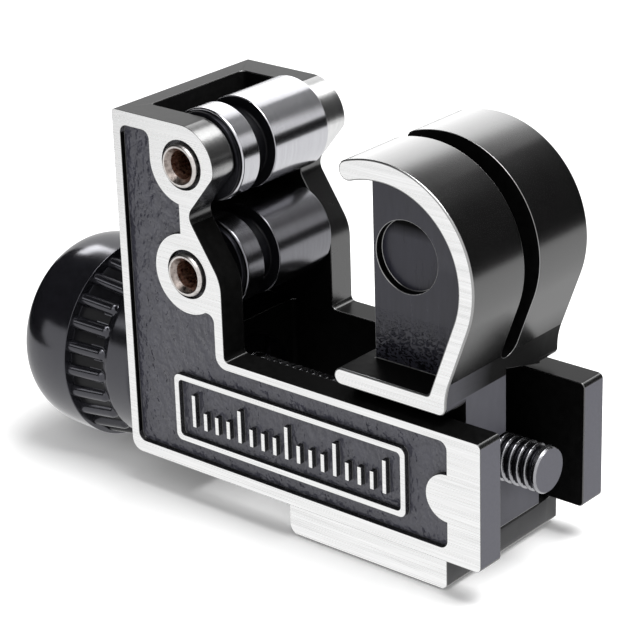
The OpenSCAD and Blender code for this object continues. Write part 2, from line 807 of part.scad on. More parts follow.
// Hollow domed cap over the outer end of the knob
module knob_end_cap() {
    inner_r = knob_r - cap_wall;
    lip_r = cap_wall * 0.35;
    dome = cap_l * 0.98;
    dome_x = cap_end_x + dome;
    outer = [
        for (i = [0:arc_steps])
            let (a = 90 * i / arc_steps)
            [knob_r * pow(cos(a), dome_r_share), dome_x - dome * pow(sin(a), dome_l_share)]
    ];
    inner = [
        for (i = [arc_steps:-1:0])
            let (a = 90 * i / arc_steps)
            [inner_r * pow(cos(a), dome_r_share), dome_x - (dome - cap_wall) * pow(sin(a), dome_l_share)]
    ];
    color("darkslategray") placed() around_screw() polygon(concat(
        [[inner_r, lip_x], [knob_r - lip_r, lip_x], [knob_r - 0.3 * lip_r, lip_x - 0.3 * lip_r],
         [knob_r, lip_x - lip_r]],
        outer, inner
    ));
}

frame_body();
screw_bush();
thrust_washer();
retaining_washer();
upper_roller_sleeve();
lower_roller_sleeve();
upper_roller_rivet();
lower_roller_rivet();
upper_roller_spacer();
lower_roller_spacer();
upper_roller();
lower_roller();
slide_jaw();
wheel_axle_screw();
cutting_wheel();
feed_screw();
retaining_ring();
knob_body();
knob_insert();
knob_lock_washer();
knob_screw();
knob_end_cap();
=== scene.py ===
# Mini tube cutter, dressed for its picture. Lengths in the settings are millimetres and angles
# are degrees. x runs along the rails from the frame's knob face, y across from the mid-plane,
# z up from the frame's underside.
import math
import bmesh
import bpy
import numpy as np
from mathutils import Matrix, Vector


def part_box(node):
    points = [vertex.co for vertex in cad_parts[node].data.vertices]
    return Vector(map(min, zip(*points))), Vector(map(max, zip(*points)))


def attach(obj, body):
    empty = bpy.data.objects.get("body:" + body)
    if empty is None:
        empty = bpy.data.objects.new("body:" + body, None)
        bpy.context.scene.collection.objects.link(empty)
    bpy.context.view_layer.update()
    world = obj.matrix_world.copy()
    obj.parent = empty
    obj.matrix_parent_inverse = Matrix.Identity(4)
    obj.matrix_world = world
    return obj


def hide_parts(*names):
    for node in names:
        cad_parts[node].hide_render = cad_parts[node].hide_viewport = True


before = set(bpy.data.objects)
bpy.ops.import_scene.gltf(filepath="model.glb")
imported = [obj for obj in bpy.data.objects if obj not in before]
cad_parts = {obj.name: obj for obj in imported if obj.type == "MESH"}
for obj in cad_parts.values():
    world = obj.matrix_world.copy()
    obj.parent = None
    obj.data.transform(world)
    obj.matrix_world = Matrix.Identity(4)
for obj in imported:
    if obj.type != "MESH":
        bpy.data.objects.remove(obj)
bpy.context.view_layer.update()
mm = 0.001
frameLow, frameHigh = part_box("frame_body")
origin = np.array([frameLow.x, (frameLow.y + frameHigh.y) / 2, frameLow.z])
print("stage: frame loaded")


# camera
view = {"azimuth": 40.735, "elevation": 23.018, "roll": -1.818, "distance": 346.082,
        "target": (24.759, 0.0, 21.729), "lens": 138.17, "sensor": 36, "near": 10, "far": 20000}


def aimCamera(v):
    # the camera stands on a sphere about the target; roll turns its right and up axes
    az, el, roll = (math.radians(v[k]) for k in ("azimuth", "elevation", "roll"))
    back = Vector((math.sin(az) * math.cos(el), -math.cos(az) * math.cos(el), math.sin(el)))
    right = Vector((math.cos(az), math.sin(az), 0))
    up = back.cross(right)
    across = right * math.cos(roll) + up * math.sin(roll)
    upright = up * math.cos(roll) - right * math.sin(roll)
    target = Vector(origin + np.array(v["target"]) * mm)
    data = bpy.data.cameras.new("photoCamera")
    data.sensor_width = v["sensor"]
    data.lens = v["lens"]
    data.clip_start = v["near"] * mm
    data.clip_end = v["far"] * mm
    camera = bpy.data.objects.new("photoCamera", data)
    place = target + back * v["distance"] * mm
    camera.matrix_world = Matrix.Translation(place) @ Matrix((across, upright, back)).transposed().to_4x4()
    bpy.context.collection.objects.link(camera)
    bpy.context.scene.camera = camera


aimCamera(view)


# materials
# the stretch of a noise's values over which low passes into high, and the roughness of a relief's noise
noiseLook = {"span": (0.3, 0.7), "detail": 3.0, "rough": 0.5, "reliefRough": 0.55}
# worms of paint: their noise, where it is cut, how they gather towards the foot, their tone and depth
crinkleLook = {"grain": (0.95, 1.0, 0.55), "detail": 2, "rough": 0.5, "bend": 1.6, "cut": (0.5, 0.53),
               "gather": 2.2, "tone": (0.004, 0.004, 0.006), "depth": 1.0}


def socket(shader, name, value):
    if name in shader.inputs:
        shader.inputs[name].default_value = value


def finish(name, look):
    # two tones mixed by a stretched noise on the object's own coordinates; the same noise moves the
    # roughness between two values, and up to two further noises raise the surface
    mat = bpy.data.materials.new(name)
    mat.use_nodes = True
    tree = mat.node_tree
    nodes, links = tree.nodes, tree.links
    shader = nodes["Principled BSDF"]
    socket(shader, "Metallic", look.get("metal", 0.0))
    socket(shader, "IOR", look.get("ior", 1.5))
    socket(shader, "Specular IOR Level", look.get("specular", 0.5))
    coords = nodes.new("ShaderNodeTexCoord")

    def noise(scale, detail=noiseLook["detail"], rough=noiseLook["rough"], distortion=0.0):
        stretch = nodes.new("ShaderNodeMapping")
        stretch.inputs["Scale"].default_value = [1 / (s * mm) for s in scale]
        links.new(coords.outputs["Object"], stretch.inputs["Vector"])
        grain = nodes.new("ShaderNodeTexNoise")
        grain.inputs["Scale"].default_value = 1
        grain.inputs["Detail"].default_value = detail
        grain.inputs["Roughness"].default_value = rough
        grain.inputs["Distortion"].default_value = distortion
        links.new(stretch.outputs["Vector"], grain.inputs["Vector"])
        return grain.outputs["Fac"]

    def between(value, low, high, span=noiseLook["span"]):
        ramp = nodes.new("ShaderNodeMapRange")
        for key, v in (("From Min", span[0]), ("From Max", span[1]), ("To Min", low), ("To Max", high)):
            ramp.inputs[key].default_value = v
        links.new(value, ramp.inputs["Value"])
        return ramp.outputs["Result"]

    def places():
        # a point's place on each axis
        place = nodes.new("ShaderNodeSeparateXYZ")
        links.new(coords.outputs["Object"], place.inputs["Vector"])
        return place.outputs

    def mixedTone(share, tone):
        # the tones pass into another by a share, on the way to the base colour
        mixed = nodes.new("ShaderNodeMix")
        mixed.data_type = "RGBA"
        links.new(share, mixed.inputs["Factor"])
        links.new(tones.outputs["Color"], mixed.inputs["A"])
        mixed.inputs["B"].default_value = (*tone, 1)
        links.new(mixed.outputs["Result"], shader.inputs["Base Color"])

    grain = noise(look["grain"])
    tones = nodes.new("ShaderNodeValToRGB")
    for element, place, tone in zip(tones.color_ramp.elements, noiseLook["span"], look["tones"]):
        element.position = place
        element.color = (*tone, 1)
    links.new(grain, tones.inputs["Fac"])
    links.new(tones.outputs["Color"], shader.inputs["Base Color"])
    links.new(between(grain, *look["rough"]), shader.inputs["Roughness"])
    if "tint" in look:
        socket(shader, "Specular Tint", (*look["tint"], 1))
    if "fade" in look:
        # painted shade: along one axis the tone and the shine pass into darker ones between two places
        axis, start, end, tone, shine = look["fade"]
        start, end = (origin["XYZ".index(axis)] + q * mm for q in (start, end))
        where = places()[axis]
        if start < end:
            share = between(where, 0.0, 1.0, (start, end))
        else:
            share = between(where, 1.0, 0.0, (end, start))
        mixedTone(share, (tone, tone, tone))
        links.new(between(share, look.get("specular", 0.5), shine, (0.0, 1.0)),
                  shader.inputs["Specular IOR Level"])
    normal = None
    if "crinkle" in look:
        # towards the foot the paint gathers into small dark worms: a bent noise, cut at its middle and
        # faded in between two heights
        v = crinkleLook
        depth = between(places()["Z"], 0.0, 1.0, [origin[2] + z * mm for z in look["crinkle"]])
        worm = between(noise(v["grain"], v["detail"], v["rough"], v["bend"]), 0.0, 1.0, v["cut"])
        near = nodes.new("ShaderNodeMath")
        near.operation = "POWER"
        near.inputs[1].default_value = v["gather"]
        links.new(depth, near.inputs[0])
        share = nodes.new("ShaderNodeMath")
        share.operation = "MULTIPLY"
        links.new(near.outputs[0], share.inputs[0])
        links.new(worm, share.inputs[1])
        mixedTone(share.outputs[0], v["tone"])
        bump = nodes.new("ShaderNodeBump")
        bump.inputs["Strength"].default_value = 1
        bump.inputs["Distance"].default_value = v["depth"] * mm
        bump.invert = True
        links.new(share.outputs[0], bump.inputs["Height"])
        normal = bump.outputs["Normal"]
    for size, height, detail in look.get("bumps", ()):
        bump = nodes.new("ShaderNodeBump")
        bump.inputs["Strength"].default_value = 1
        bump.inputs["Distance"].default_value = height * mm
        links.new(noise(size, detail, noiseLook["reliefRough"]), bump.inputs["Height"])
        if normal:
            links.new(normal, bump.inputs["Normal"])
        normal = bump.outputs["Normal"]
    if normal:
        links.new(normal, shader.inputs["Normal"])
    return mat


def grey(v, blue=1.0):
    return (v, v, v * blue)


looks = {
    "blackEnamel": {"tones": (grey(0.003), grey(0.005)), "rough": (0.265, 0.275), "grain": (3, 3, 3),
                    "ior": 2.1},
    # painted shade: the rim's enamel loses its shine below z 28.5, wholly by z 24.5
    "rimEnamelShadedBelow": {"tones": (grey(0.003), grey(0.004)), "rough": (0.205, 0.21), "grain": (3, 3, 3),
                  "ior": 2.1, "fade": ("Z", 28.5, 24.5, 0.004, 0.06)},
    "edgeSteel": {"tones": (grey(0.34), grey(0.4)), "rough": (0.3, 0.34), "grain": (3, 3, 3), "metal": 1.0},
    # painted light: a lightened black for the foot's top, which lies in the hook's shade
    "footTopLit": {"tones": (grey(0.05, 1.1), grey(0.06, 1.1)), "rough": (0.4, 0.45), "grain": (1, 1, 1),
                  "ior": 1.3},
    # painted light and shade: a grey that lifts the heel's end face out of the hook's shade and fades to
    # black towards the back
    "heelGreyLightAndShade": {"tones": (grey(0.055, 1.15), grey(0.065, 1.15)), "rough": (0.5, 0.55), "grain": (1, 1, 2),
                 "ior": 1.35, "fade": ("Y", -11.0, -3.0, 0.004, 0.15)},
    "railBlack": {"tones": (grey(0.003), grey(0.005)), "rough": (0.28, 0.32), "grain": (3, 3, 3),
                  "ior": 1.3},
    # painted shade: the end faces' grey darkened almost to black on the flange's end
    "flangeBlackShade": {"tones": (grey(0.01, 1.15), grey(0.014, 1.15)), "rough": (0.34, 0.4),
                    "grain": (1, 1, 1), "ior": 1.45},
    # painted shade: a flat black with almost no shine, for faces that look into hollows and slots
    "paintedShadeBlack": {"tones": (grey(0.002), grey(0.004)), "rough": (0.5, 0.6), "grain": (1, 1, 1),
                  "specular": 0.03, "bumps": [((0.4, 0.4, 0.4), 0.004, 2)]},
    # painted shade: the front lobe's metal is a darker copy of the rear lobe's
    "shadedFrontLobe": {"tones": (grey(0.43), grey(0.47)), "rough": (0.25, 0.27), "grain": (4, 0.5, 4),
                  "metal": 1.0},
    "rearLobe": {"tones": (grey(0.76), grey(0.82)), "rough": (0.25, 0.27), "grain": (4, 0.5, 4),
                 "metal": 1.0},
    "wrinklePaint": {"tones": (grey(0.046, 1.3), grey(0.062, 1.3)), "rough": (0.2, 0.27),
                     "grain": (1.6, 1.6, 2.4), "ior": 1.55,
                     "bumps": [((1.3, 1.3, 1.8), 0.5, 2), ((0.45, 0.45, 0.5), 0.08, 1)]},
    "webPaint": {"tones": (grey(0.024, 1.4), grey(0.032, 1.4)), "rough": (0.22, 0.28),
                 "grain": (0.9, 1, 6), "ior": 1.42, "bumps": [((0.9, 1, 5), 0.02, 2)],
                 "crinkle": (31.0, 23.5)},
    # painted shadow: the recess floor's paint darkens to black along its top
    "recessPaintedShadow": {"tones": (grey(0.024, 1.4), grey(0.032, 1.4)), "rough": (0.26, 0.32),
                    "grain": (0.9, 1, 6), "ior": 1.38, "fade": ("Z", 40.6, 42.4, 0.003, 0.03)},
    "groundSteel": {"tones": (grey(0.8), grey(1.0)), "rough": (0.24, 0.34), "grain": (16, 2, 0.24),
                    "metal": 1.0, "bumps": [((16, 2, 0.16), 0.001, 2)]},
    # painted shade: a darker copy of the rail ends' satin grey for the top plate, which takes more of the
    # overhead light
    "plateGreyShaded": {"tones": (grey(0.044), grey(0.05)), "rough": (0.45, 0.5), "grain": (1, 1, 1),
                  "ior": 1.4, "bumps": [((0.3, 0.3, 0.3), 0.001, 2)]},
    "satinGrey": {"tones": (grey(0.08, 1.2), grey(0.095, 1.2)), "rough": (0.45, 0.52),
                  "grain": (0.4, 0.4, 0.4), "ior": 1.4, "bumps": [((0.3, 0.3, 0.3), 0.001, 2)]},
    # painted light and shade: a separate grey for the neck's end face, its tone set for the light that
    # reaches it between the rails
    "neckGreyLightAndShade": {"tones": (grey(0.055, 1.2), grey(0.065, 1.2)), "rough": (0.5, 0.55), "grain": (1, 1, 2),
                 "ior": 1.4, "bumps": [((0.3, 0.3, 0.3), 0.001, 2)]},
    "rollerChrome": {"tones": (grey(0.58, 1.05), grey(0.62, 1.05)), "rough": (0.17, 0.18),
                     "grain": (6, 0.4, 6), "metal": 1.0},
    # painted shade: a darker copy of the upper roller's chrome for the lower roller
    "rollerChromeShaded": {"tones": (grey(0.2, 1.08), grey(0.22, 1.08)), "rough": (0.22, 0.23),
                    "grain": (6, 0.4, 6), "metal": 1.0},
    # painted shade: near black for the roller's groove
    "grooveShadeBlack": {"tones": (grey(0.003, 1.3), grey(0.005, 1.3)), "rough": (0.4, 0.5),
                    "grain": (1, 1, 1), "specular": 0.12},
    "washerSteel": {"tones": (grey(0.012, 1.2), grey(0.022, 1.2)), "rough": (0.35, 0.45),
                    "grain": (0.5, 0.5, 0.5), "metal": 1.0},
    "funnelTin": {"tones": ((0.2, 0.17, 0.155), (0.46, 0.4, 0.37)), "rough": (0.24, 0.36), "metal": 1.0,
                  "grain": (0.5, 0.5, 0.5), "bumps": [((0.4, 0.4, 0.4), 0.02, 2)]},
    "rivetNickel": {"tones": ((0.55, 0.52, 0.5), (0.8, 0.77, 0.75)), "rough": (0.26, 0.38), "metal": 1.0,
                    "grain": (0.6, 0.6, 0.6), "bumps": [((0.5, 0.5, 0.5), 0.012, 2)]},
    "boreCopper": {"tones": ((0.3, 0.17, 0.12), (0.95, 0.7, 0.58)), "rough": (0.25, 0.4),
                   "grain": (0.5, 0.5, 0.5), "metal": 1.0},
    "screwSteel": {"tones": (grey(0.3, 1.05), grey(0.42, 1.05)), "rough": (0.22, 0.3),
                   "grain": (0.3, 2, 2), "metal": 1.0},
    # painted shade: near black steel for the deep parts of the thread
    "threadRootShade": {"tones": (grey(0.01, 1.2), grey(0.025, 1.2)), "rough": (0.35, 0.5),
                   "grain": (0.4, 0.4, 0.4), "metal": 1.0},
    "wheelSteel": {"tones": (grey(0.25), grey(0.35)), "rough": (0.25, 0.35), "grain": (0.3, 3, 3),
                   "metal": 1.0},
    "knobPlastic": {"tones": (grey(0.006, 1.25), grey(0.009, 1.25)), "rough": (0.15, 0.17),
                    "grain": (1, 1, 1), "ior": 1.75, "tint": (0.9, 0.9, 1.0)},
    # painted shade: towards the underside the grip's shine fades, standing for its reflected contact shadow
    "knobGripShadedBelow": {"tones": (grey(0.006, 1.25), grey(0.009, 1.25)), "rough": (0.18, 0.21),
                 "grain": (1, 1, 1), "ior": 1.75, "tint": (0.9, 0.9, 1.0),
                 "fade": ("Z", 2.0, -2.5, 0.006, 0.08)},
    # painted shade: a darker plastic with little shine for the hollows between the grip bars
    "knobGapShade": {"tones": (grey(0.004, 1.25), grey(0.006, 1.25)), "rough": (0.3, 0.35),
                "grain": (1, 1, 1), "ior": 1.45, "specular": 0.2},
    "insertBrass": {"tones": ((0.45, 0.3, 0.12), (0.6, 0.42, 0.18)), "rough": (0.3, 0.4),
                    "grain": (1, 1, 1), "metal": 1.0},
    "bushBronze": {"tones": ((0.3, 0.17, 0.08), (0.42, 0.26, 0.13)), "rough": (0.35, 0.45),
                   "grain": (1, 1, 1), "metal": 1.0},
}
finishes = {name: finish(name, look) for name, look in looks.items()}
print("stage: materials made")


# mesh helpers
# points closer than merge are one; an arc takes up to sideShare of a side, and its guard points
# stand a little farther from the corner than its ends
meshLook = {"merge": 0.0002, "sideShare": 0.45, "guard": 1.08}


def addPiece(name, verts, faces, mats, body, nodes, faceMats=None, sharp=32):
    # mesh from whole arrays; points that fall together, as at a pole, are merged, and edges sharper
    # than the given angle stay crisp
    mesh = bpy.data.meshes.new(name)
    mesh.from_pydata(verts.tolist(), [], faces.tolist())
    for m in mats:
        mesh.materials.append(finishes[m])
    if faceMats is not None:
        mesh.polygons.foreach_set("material_index", faceMats.astype(np.int32))
    work = bmesh.new()
    work.from_mesh(mesh)
    bmesh.ops.remove_doubles(work, verts=work.verts, dist=meshLook["merge"] * mm)
    bmesh.ops.recalc_face_normals(work, faces=work.faces)
    work.to_mesh(mesh)
    work.free()
    mesh.polygons.foreach_set("use_smooth", np.ones(len(mesh.polygons), dtype=bool))
    mesh.set_sharp_from_angle(angle=math.radians(sharp))
    piece = bpy.data.objects.new(name, mesh)
    bpy.context.collection.objects.link(piece)
    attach(piece, body)
    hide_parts(*nodes)


def gridFaces(rows, cols, wrapRows=False, wrapCols=True):
    # quads between neighbours of a rows by cols grid of points
    r = np.arange(rows if wrapRows else rows - 1)
    c = np.arange(cols if wrapCols else cols - 1)
    a = r[:, None] * cols + c[None, :]
    b = r[:, None] * cols + (c[None, :] + 1) % cols
    d = ((r[:, None] + 1) % rows) * cols + c[None, :]
    e = ((r[:, None] + 1) % rows) * cols + (c[None, :] + 1) % cols
    return np.stack([a, b, e, d], axis=-1).reshape(-1, 4)


def softProfile(corners, steps=5):
    # each corner [radius, along, rounding] is replaced by an arc that meets both its sides
    out = []
    n = len(corners)
    for i, corner in enumerate(corners):
        here = np.array(corner[:2], dtype=float)
        r = corner[2] if len(corner) > 2 else 0
        if r <= 0 or i in (0, n - 1):
            out.append(here[None])
            continue
        a = np.array(corners[i - 1][:2]) - here
        b = np.array(corners[i + 1][:2]) - here
        la, lb = np.linalg.norm(a), np.linalg.norm(b)
        a, b = a / la, b / lb
        half = math.acos(max(-1, min(1, float(a @ b)))) / 2
        reach = min(r / math.tan(half), meshLook["sideShare"] * la, meshLook["sideShare"] * lb)
        r = reach * math.tan(half)
        middle = (a + b) / np.linalg.norm(a + b)
        centre = here + middle * r / math.sin(half)
        u, v = here + a * reach - centre, here + b * reach - centre
        t = np.linspace(0, 1, steps)[:, None]
        span = math.pi - 2 * half
        arc = (np.sin((1 - t) * span) * u + np.sin(t * span) * v) / math.sin(span)
        # a point just before and just after the arc keeps its shading off the flats beside it
        guard = meshLook["guard"] * reach
        out += [(here + guard * a)[None], centre + arc, (here + guard * b)[None]]
    return np.concatenate(out)


def lathe(profile, centre, axis, segments):
    # the closed profile's radius and place along the axis, turned through a full circle about it
    t = np.linspace(0, 2 * np.pi, segments, endpoint=False)
    r, s = profile[:, 0][:, None], profile[:, 1][:, None]
    one = np.ones_like(t)[None, :]
    if axis == "y":
        pts = np.stack([centre[0] + r * np.sin(t), s * one, centre[2] + r * np.cos(t)], axis=-1)
    else:
        pts = np.stack([s * one, centre[1] - r * np.sin(t), centre[2] + r * np.cos(t)], axis=-1)
    verts = pts.reshape(-1, 3) * mm + origin
    return verts, gridFaces(len(profile), segments, wrapRows=True)


def sizeOf(node):
    # lowest and highest corner of a CAD node in the settings' own millimetres
    low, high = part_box(node)
    return (np.array(low) - origin) / mm, (np.array(high) - origin) / mm


# castings
# an edge turns by less than flat degrees where it is dropped and by more than sharp where it is
# rounded, and none is rounded wider than widest
castLook = {"merge": 0.0015, "flat": 0.6, "sharp": 34, "widest": 0.3, "segments": 3}
# a face lies on a plane when it is within these lengths of it, and looks along an axis when that
# part of its normal is over these shares
within = {"wall": 0.02, "face": 0.05, "end": 0.1, "floor": 0.15, "step": 0.2}
facing = {"square": 0.99, "mostly": 0.9, "partly": 0.5, "barely": 0.05}


def castCopy(node, name, mats, edgeMat, choose, widths, body):
    # a merged copy of the casting; each face takes its finish by where it lies and where it faces,
    # and each sharp edge is rounded by its own width
    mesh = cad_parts[node].data.copy()
    mesh.name = name
    mesh.materials.clear()
    for m in mats:
        mesh.materials.append(finishes[m])
    work = bmesh.new()
    work.from_mesh(mesh)
    bmesh.ops.remove_doubles(work, verts=work.verts, dist=castLook["merge"] * mm)
    bmesh.ops.dissolve_limit(work, angle_limit=math.radians(castLook["flat"]), verts=work.verts,
                             edges=work.edges, delimit={"NORMAL"})
    work.to_mesh(mesh)
    work.free()
    count = len(mesh.polygons)
    centres, normals = np.empty(count * 3), np.empty(count * 3)
    mesh.polygons.foreach_get("center", centres)
    mesh.polygons.foreach_get("normal", normals)
    centres = (centres.reshape(-1, 3) - origin) / mm
    normals = normals.reshape(-1, 3)
    mesh.polygons.foreach_set("material_index", choose(centres, normals).astype(np.int32))
    # the angle across each edge comes from the two faces that meet in it
    edgeCount = len(mesh.edges)
    loopEdge = np.empty(len(mesh.loops), dtype=np.int32)
    mesh.loops.foreach_get("edge_index", loopEdge)
    totals = np.empty(count, dtype=np.int32)
    mesh.polygons.foreach_get("loop_total", totals)
    loopFace = np.repeat(np.arange(count), totals)
    order = np.argsort(loopEdge, kind="stable")
    first = np.searchsorted(loopEdge[order], np.arange(edgeCount))
    uses = np.bincount(loopEdge, minlength=edgeCount)
    faceA = loopFace[order[np.minimum(first, len(order) - 1)]]
    faceB = loopFace[order[np.minimum(first + 1, len(order) - 1)]]
    turn = np.degrees(np.arccos(np.clip((normals[faceA] * normals[faceB]).sum(1), -1, 1)))
    ends = np.empty(edgeCount * 2, dtype=np.int32)
    mesh.edges.foreach_get("vertices", ends)
    coords = np.empty(len(mesh.vertices) * 3)
    mesh.vertices.foreach_get("co", coords)
    coords = (coords.reshape(-1, 3) - origin) / mm
    mid = coords[ends.reshape(-1, 2)].mean(1)
    wide = np.where((uses == 2) & (turn > castLook["sharp"]), widths(mid), 0.0)
    weight = mesh.attributes.new("bevel_weight_edge", "FLOAT", "EDGE")
    weight.data.foreach_set("value", (wide / castLook["widest"]).astype(np.float32))
    mesh.polygons.foreach_set("use_smooth", np.ones(count, dtype=bool))
    mesh.set_sharp_from_angle(angle=math.radians(castLook["sharp"]))
    piece = bpy.data.objects.new(name, mesh)
    bpy.context.collection.objects.link(piece)
    rounding = piece.modifiers.new("rounding", "BEVEL")
    rounding.limit_method = "WEIGHT"
    rounding.width = castLook["widest"] * mm
    rounding.segments = castLook["segments"]
    rounding.use_clamp_overlap = False
    rounding.harden_normals = True
    rounding.material = mats.index(edgeMat)
    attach(piece, body)
    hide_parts(node)
    rounded, loose = int((wide > 0).sum()), int((uses != 2).sum())
    print("stage:", name, count, "faces,", rounded, "edges rounded,", loose, "open")


frameLook = {"halfWidth": 14.0, "pocketFloor": 13.2, "top": 52.2, "length": 63.2, "cavity": 9.55,
             "lobe": 40.5, "notch": 37.0, "rail": 18.7,
             "faceEdge": 0.06, "pocketEdge": 0.06, "castEdge": 0.15}
frameMats = ["blackEnamel", "groundSteel", "wrinklePaint", "satinGrey", "paintedShadeBlack", "shadedFrontLobe",
             "rearLobe", "railBlack", "plateGreyShaded"]


def frameFaces(c, n):
    # enamel, but ground side faces, wrinkled pockets, grey rail ends and a darker grey top as painted
    # shade, bright lobes on the column's edge with the front one darker as painted shade, and painted
    # shade in flat black where the frame looks into its own hollow, on the front rail's top and in the
    # front notch
    v, kindOf = frameLook, frameMats.index
    side = np.abs(c[:, 1])
    flat = np.abs(n[:, 1]) > facing["square"]
    kind = np.full(len(c), kindOf("blackEnamel"))
    kind[flat & (side > v["halfWidth"] - within["face"])] = kindOf("groundSteel")
    kind[flat & (np.abs(side - v["pocketFloor"]) < within["floor"])] = kindOf("wrinklePaint")
    top = (n[:, 2] > facing["square"]) & (c[:, 2] > v["top"] - within["end"])
    # painted shade: the top takes the darker grey
    kind[top] = kindOf("plateGreyShaded")
    railEnd = (n[:, 0] > facing["square"]) & (c[:, 0] > v["length"] - within["end"])
    kind[railEnd] = kindOf("satinGrey")
    # painted shade: faces that look into the frame's own hollow are flat black
    kind[(side < v["cavity"] + within["wall"]) & ~top & ~railEnd] = kindOf("paintedShadeBlack")
    plain = kind == kindOf("blackEnamel")
    lobe = plain & (c[:, 2] > v["lobe"]) & (n[:, 0] > facing["barely"])
    # painted shade: the front lobe takes the darker copy of the lobes' metal
    kind[lobe & (c[:, 1] < 0)] = kindOf("shadedFrontLobe")
    kind[lobe & (c[:, 1] > 0)] = kindOf("rearLobe")
    # painted shade: the front notch and the front rail's top are flat black
    notch = (c[:, 2] < v["notch"]) & (c[:, 2] > v["rail"] + within["end"]) & (n[:, 0] > facing["partly"])
    kind[plain & notch & (c[:, 1] < 0)] = kindOf("paintedShadeBlack")
    railTop = (np.abs(c[:, 2] - v["rail"]) < within["end"]) & (n[:, 2] > facing["mostly"])
    kind[plain & railTop & (c[:, 1] < 0)] = kindOf("paintedShadeBlack")
    kind[plain & railTop & (c[:, 1] >= 0)] = kindOf("railBlack")
    return kind


def frameEdges(mid):
    v = frameLook
    side = np.abs(mid[:, 1])
    width = np.full(len(mid), v["castEdge"])
    width[side > v["pocketFloor"] - within["step"]] = v["pocketEdge"]
    width[side > v["halfWidth"] - within["wall"]] = v["faceEdge"]
    return width


castCopy("frame_body", "frameCasting", frameMats, "blackEnamel", frameFaces, frameEdges, "frame")

# a band or a bow is how far a finish or an edge's width reaches past the place that it starts from
slideLook = {"halfWidth": 12.7, "web": 7.0, "webDepth": 1.4, "heel": 56.0, "heelBow": 0.8, "neckTop": 20.2,
             "footTop": 22.65, "footBand": 1.0, "heelBand": 3.0, "slot": 1.7, "axle": (46.1, 38.4),
             "recess": 5.1, "floorDepth": 0.5, "neck": 8.3, "neckBand": 0.3, "slotBand": 2.0,
             "flangeTop": 0.5, "faceEdge": 0.24, "slotEdge": 0.07, "flangeEdge": 0.06, "castEdge": 0.1}
slideMats = ["rimEnamelShadedBelow", "groundSteel", "webPaint", "paintedShadeBlack", "neckGreyLightAndShade", "flangeBlackShade", "footTopLit",
             "heelGreyLightAndShade", "edgeSteel", "recessPaintedShadow"]


def slideFaces(c, n):
    # enamel that loses its shine towards the bottom as painted shade, but ground side faces, a painted web,
    # a recess floor with a painted shadow along its top, an end face in three steps from the flange up to
    # the heel whose greys are painted light and shade, a foot top lightened as painted light, and painted
    # shade in flat black in the slot, on the recess's wall and beside the neck
    v, kindOf = slideLook, slideMats.index
    side = np.abs(c[:, 1])
    flat = np.abs(n[:, 1]) > facing["square"]
    # painted shade: the slide's enamel darkens towards the bottom
    kind = np.full(len(c), kindOf("rimEnamelShadedBelow"))
    kind[flat & (side > v["halfWidth"] - within["face"])] = kindOf("groundSteel")
    web = (side > v["web"] - v["webDepth"]) & (side < v["web"] + within["end"]) & (c[:, 2] > v["footTop"])
    kind[flat & web] = kindOf("webPaint")
    end = (n[:, 0] > facing["mostly"]) & (c[:, 0] > v["heel"] - v["heelBow"])
    # painted shade: the flange's end face is darkened almost to black
    kind[end & (c[:, 2] < 0)] = kindOf("flangeBlackShade")
    # painted light and shade: the end face from the flange up to the foot takes the neck's grey
    kind[end & (c[:, 2] > 0) & (c[:, 2] < v["footTop"] + v["footBand"])] = kindOf("neckGreyLightAndShade")
    # painted light and shade: the heel's band of the end face takes the lifted grey
    heel = (c[:, 2] > v["neckTop"]) & (c[:, 2] < v["footTop"] + v["heelBand"])
    kind[end & heel] = kindOf("heelGreyLightAndShade")
    # painted light: the foot's top takes the lightened black
    foot = (n[:, 2] > facing["mostly"]) & (np.abs(c[:, 2] - v["footTop"]) < within["step"])
    kind[foot & (side > v["web"])] = kindOf("footTopLit")
    # painted shade: the slot's faces are flat black
    kind[(side < v["slot"] + within["wall"]) & ~end & (c[:, 2] > 0)] = kindOf("paintedShadeBlack")
    # painted shadow: the recess's wall is flat black and its floor darkens along its top
    offAxle = np.hypot(c[:, 0] - v["axle"][0], c[:, 2] - v["axle"][1])
    recess = offAxle < v["recess"] + within["end"]
    wall = (side > v["slot"]) & (side < v["web"]) & (np.abs(n[:, 1]) < facing["partly"])
    kind[recess & wall] = kindOf("paintedShadeBlack")
    floor = (side > v["slot"] + v["floorDepth"]) & (side < v["web"] - within["end"])
    kind[recess & flat & floor] = kindOf("recessPaintedShadow")
    # painted shade: the faces beside the neck are flat black
    kind[np.abs(side - v["neck"]) < within["wall"]] = kindOf("paintedShadeBlack")
    return kind


def slideEdges(mid):
    # beside the neck nothing is rounded, because a rounding there would cut into its own corner
    v = slideLook
    side = np.abs(mid[:, 1])
    width = np.full(len(mid), v["castEdge"])
    width[side < v["slotBand"]] = v["slotEdge"]
    width[side > v["halfWidth"] - within["wall"]] = v["faceEdge"]
    width[mid[:, 2] < v["flangeTop"]] = v["flangeEdge"]
    width[np.abs(side - v["neck"]) < v["neckBand"]] = 0
    return width


castCopy("slide_jaw", "slideCasting", slideMats, "edgeSteel", slideFaces, slideEdges, "slide")
print("stage: castings made")


# rollers, rivets and spacers
rollerLook = {"bore": 3.45, "frontLand": 3.4, "groove": 3.3, "grooveDepth": 1.7, "draft": 0.05,
              "rootRound": 0.3, "endRound": 0.25, "lipRound": 0.12, "segments": 160}
# painted shade: the lower roller takes the darker chrome
rollers = {"upper_roller": ("upperRoller", "rollerChrome"), "lower_roller": ("lowerRoller", "rollerChromeShaded")}


